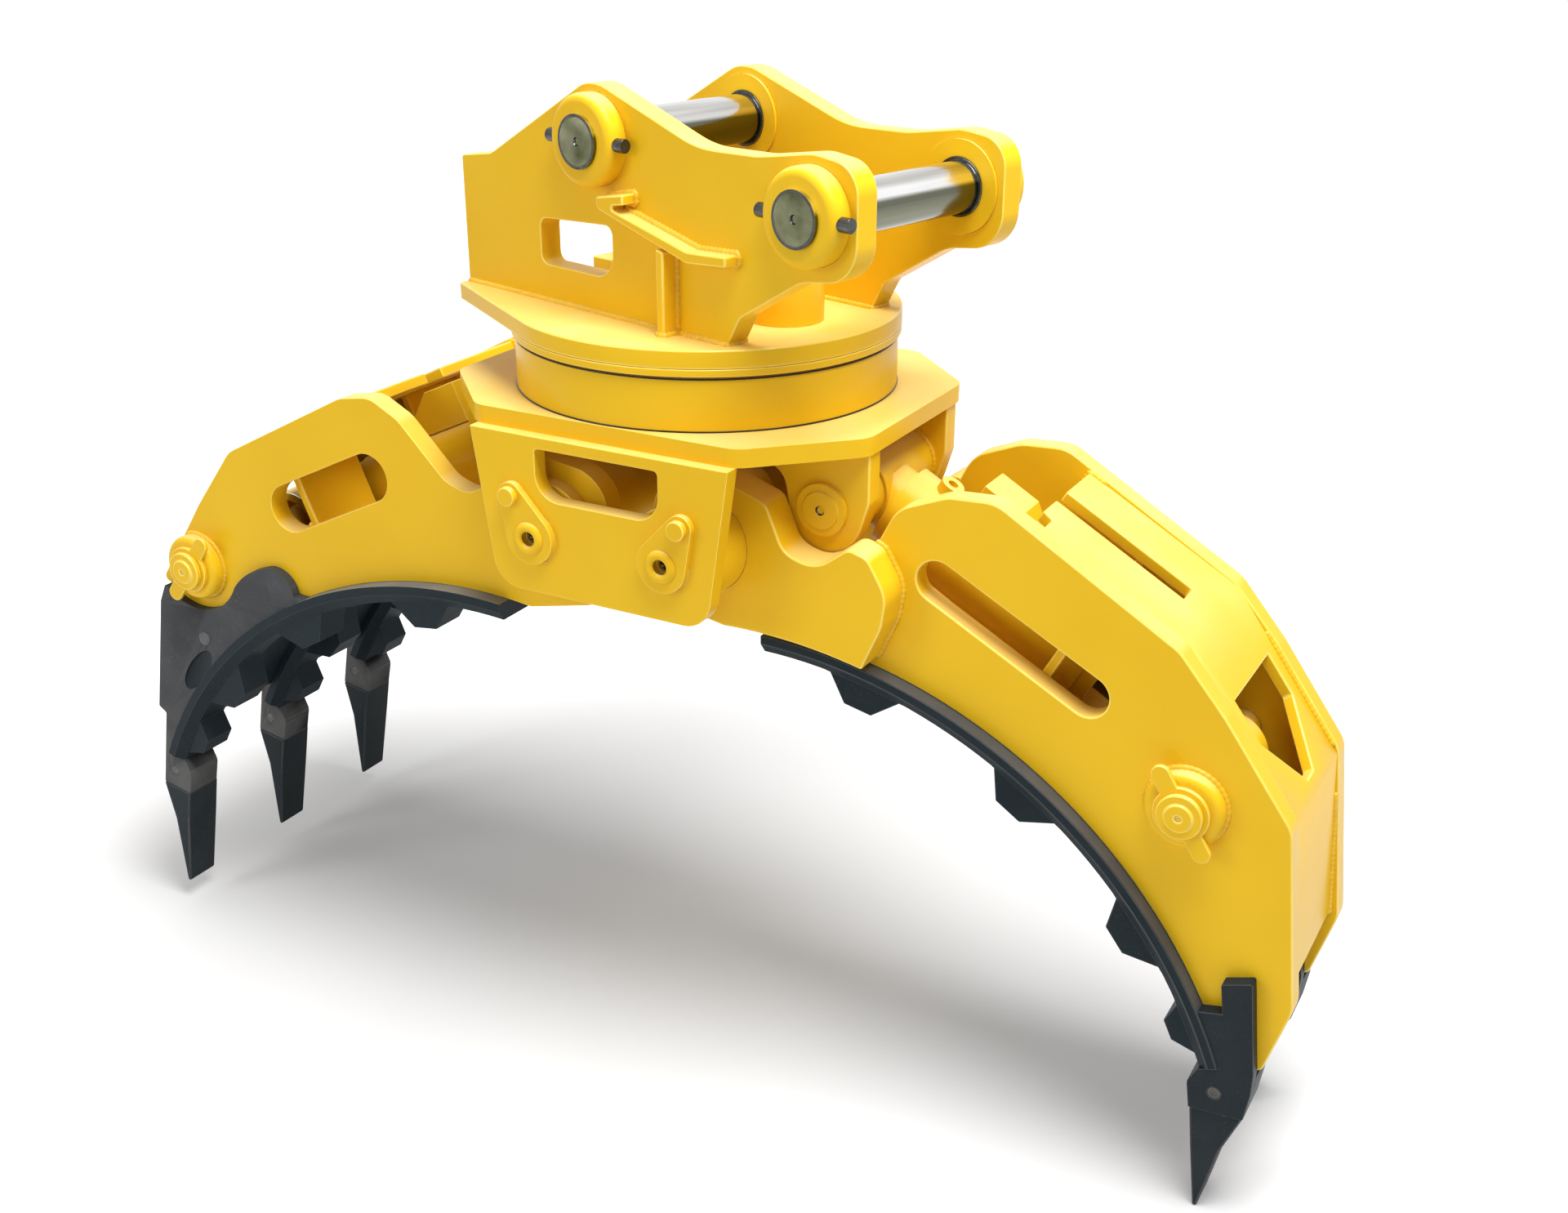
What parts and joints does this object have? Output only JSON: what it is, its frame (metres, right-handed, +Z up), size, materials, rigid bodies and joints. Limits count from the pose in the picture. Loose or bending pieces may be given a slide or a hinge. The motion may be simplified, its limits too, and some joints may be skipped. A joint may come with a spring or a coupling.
{
  "type": "rock grapple",
  "caption": "Turning rock grapple for an excavator arm, with two curved hydraulic jaws, toothed inner edges and replaceable points.",
  "frame": {"origin": "on the floor under the middle of the bounding box, with the jaws open and the jaw tips on the floor", "axes": "+Z up along the slewing axis, +X towards the narrow jaw, +Y away from the viewer along the jaw pivots"},
  "size_m": [2.2414, 0.738, 1.695],
  "materials": {
    "yellow_paint": "gloss",
    "black_casting": "rough",
    "tooth_pin_steel": "dull",
    "pin_chrome": "polished",
    "bolt_steel": "zinc plated"
  },
  "bodies": {
    "head": {"head_base_plate": "yellow_paint", "head_cross_bolts": "bolt_steel", "head_cross_web": "yellow_paint", "head_ear_far": "yellow_paint", "head_ear_near": "yellow_paint", "head_gussets": "yellow_paint", "head_pin_arm": "pin_chrome", "head_pin_bosses": "yellow_paint", "head_pin_link": "pin_chrome", "rotary_oil_joint": "bolt_steel", "slew_inner_race": "yellow_paint", "slew_motor": "yellow_paint"},
    "pinion": {"slew_pinion": "bolt_steel"},
    "lower_frame": {"cylinder_pins": "yellow_paint", "frame_cylinder_bosses": "yellow_paint", "frame_end_plate_far": "yellow_paint", "frame_end_plate_near": "yellow_paint", "frame_keeper_bolts": "yellow_paint", "frame_lug_plate_far": "yellow_paint", "frame_lug_plate_near": "yellow_paint", "frame_pin_keepers": "yellow_paint", "frame_top_plate": "yellow_paint", "jaw_pivot_pins": "yellow_paint", "slew_outer_race": "yellow_paint", "slew_ring_screws": "bolt_steel"},
    "jaw_right": {"right_adapters": "black_casting", "right_back_sheet": "yellow_paint", "right_hub": "yellow_paint", "right_inner_sheet": "yellow_paint", "right_pivot_cheeks": "yellow_paint", "right_points": "black_casting", "right_ribs": "yellow_paint", "right_rod_pin_bosses": "yellow_paint", "right_side_plate_far": "yellow_paint", "right_side_plate_near": "yellow_paint", "right_tooth_pins": "tooth_pin_steel", "right_wear_strips": "black_casting", "rod_pin_keeper_right": "yellow_paint", "rod_pin_right": "yellow_paint"},
    "jaw_left": {"left_back_sheet": "yellow_paint", "left_hub": "yellow_paint", "left_inner_sheet": "yellow_paint", "left_points": "black_casting", "left_ribs": "yellow_paint", "left_rod_pin_bosses": "yellow_paint", "left_side_plate_far": "yellow_paint", "left_side_plate_near": "yellow_paint", "left_tine_castings": "black_casting", "left_tooth_pins": "tooth_pin_steel", "left_wear_strips": "black_casting", "rod_pin_keeper_left": "yellow_paint", "rod_pin_left": "yellow_paint"},
    "barrel_right": {"cylinder_barrel_right": "yellow_paint", "cylinder_gland_right": "yellow_paint", "cylinder_pipe_guard_right": "yellow_paint"},
    "barrel_left": {"cylinder_barrel_left": "yellow_paint", "cylinder_gland_left": "yellow_paint", "cylinder_pipe_guard_left": "yellow_paint"},
    "rod_right": {"cylinder_rod_right": "pin_chrome"},
    "rod_left": {"cylinder_rod_left": "pin_chrome"}
  },
  "joints": [
    {"name": "slew", "type": "hinge", "parent": "head", "child": "lower_frame", "pos_m": [-0.00334, 0, 1.244], "axis": [0, 0, 1], "continuous": true},
    {"name": "pinion_spin", "type": "hinge", "parent": "head", "child": "pinion", "pos_m": [0.17077, -0.04568, 1.226], "axis": [0, 0, 1], "continuous": true},
    {"name": "jaw_right_swing", "type": "hinge", "parent": "lower_frame", "child": "jaw_right", "pos_m": [0.12166, 0, 1.004], "axis": [0, 1, 0], "range_deg": [0, 50]},
    {"name": "jaw_left_swing", "type": "hinge", "parent": "lower_frame", "child": "jaw_left", "pos_m": [-0.12834, 0, 1.004], "axis": [0, -1, 0], "range_deg": [0, 54.3]},
    {"name": "barrel_right_swing", "type": "hinge", "parent": "lower_frame", "child": "barrel_right", "pos_m": [0.30466, 0, 1.072], "axis": [0, 1, 0], "range_deg": [0, 55]},
    {"name": "barrel_left_swing", "type": "hinge", "parent": "lower_frame", "child": "barrel_left", "pos_m": [-0.31134, 0, 1.072], "axis": [0, -1, 0], "range_deg": [0, 60]},
    {"name": "rod_right_slide", "type": "slide", "parent": "barrel_right", "child": "rod_right", "axis": [0.8664, 0, -0.4993], "range_m": [0, 0.165]},
    {"name": "rod_left_slide", "type": "slide", "parent": "barrel_left", "child": "rod_left", "axis": [-0.9073, 0, -0.4204], "range_m": [0, 0.175]}
  ],
  "couplings": [
    {"joint": "pinion_spin", "follows": "slew", "ratio": 4},
    {"joint": "barrel_right_swing", "follows": "jaw_right_swing", "ratio": 1.0725},
    {"joint": "rod_right_slide", "follows": "jaw_right_swing", "m_per_rad": 0.17992},
    {"joint": "barrel_left_swing", "follows": "jaw_left_swing", "ratio": 1.0843},
    {"joint": "rod_left_slide", "follows": "jaw_left_swing", "m_per_rad": 0.17559}
  ]
}
